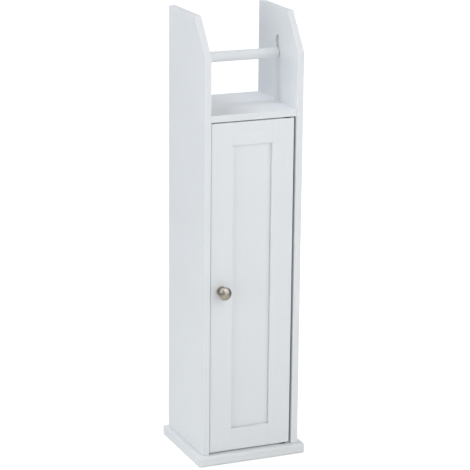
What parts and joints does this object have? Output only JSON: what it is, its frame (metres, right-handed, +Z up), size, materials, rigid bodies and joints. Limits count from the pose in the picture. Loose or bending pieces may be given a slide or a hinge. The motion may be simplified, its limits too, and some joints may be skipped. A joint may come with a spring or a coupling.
{
  "type": "toilet roll storage cabinet",
  "caption": "Slim free-standing toilet roll cabinet: an open bay with a lift-up roll bar over a tall closed compartment behind a pivoted frame and panel door.",
  "frame": {"origin": "centre of the base board's underside, on the floor", "axes": "+Z up, the door faces -Y, the open back stands against a wall at +Y, the door's pivots are on the +X side"},
  "size_m": [0.2, 0.1865, 0.78],
  "materials": {
    "white_paint": "satin white paint on fibreboard",
    "white_board": "white faced thin board",
    "white_bar": "satin white paint on a turned wooden bar",
    "satin_nickel": "satin nickel plate on a cast knob",
    "zinc_steel": "bright zinc plate",
    "black_nylon": "moulded black nylon",
    "white_plastic": "moulded white plastic",
    "ferrite": "fired dark grey ferrite",
    "beech": "bare beech"
  },
  "bodies": {
    "cabinet": {"left_side_panel": "white_paint", "right_side_panel": "white_paint", "base_board": "white_paint", "top_shelf": "white_paint", "back_panel": "white_board", "upper_pivot_pin": "zinc_steel", "lower_pivot_pin": "zinc_steel", "catch_case": "white_plastic", "catch_magnet": "ferrite", "catch_pole_plates": "zinc_steel", "catch_screws": "zinc_steel", "shelf_cams": "zinc_steel", "shelf_cam_bolts": "zinc_steel", "shelf_dowels": "beech", "base_dowels": "beech", "base_screws": "zinc_steel"},
    "door": {"door_knob_stile": "white_paint", "door_hinge_stile": "white_paint", "door_top_rail": "white_paint", "door_bottom_rail": "white_paint", "door_centre_panel": "white_paint", "door_knob": "satin_nickel", "knob_screw": "zinc_steel", "upper_pivot_bush": "black_nylon", "lower_pivot_bush": "black_nylon", "strike_plate": "zinc_steel", "strike_screw": "zinc_steel"},
    "bar_pins": {"left_bar_pin": "beech", "right_bar_pin": "beech"},
    "bar": {"roller_bar": "white_bar"}
  },
  "joints": [
    {"name": "door_hinge", "type": "hinge", "parent": "cabinet", "child": "door", "pos_m": [0.064, -0.0675, 0.3], "axis": [0, 0, 1], "range_deg": [0, 110]},
    {"name": "bar_lift", "type": "slide", "parent": "cabinet", "child": "bar_pins", "axis": [0, 0.2688, 0.9632], "range_m": [0, 0.0223]},
    {"name": "bar_spin", "type": "hinge", "parent": "bar_pins", "child": "bar", "pos_m": [0, 0.005, 0.702], "axis": [1, 0, 0], "continuous": true}
  ]
}
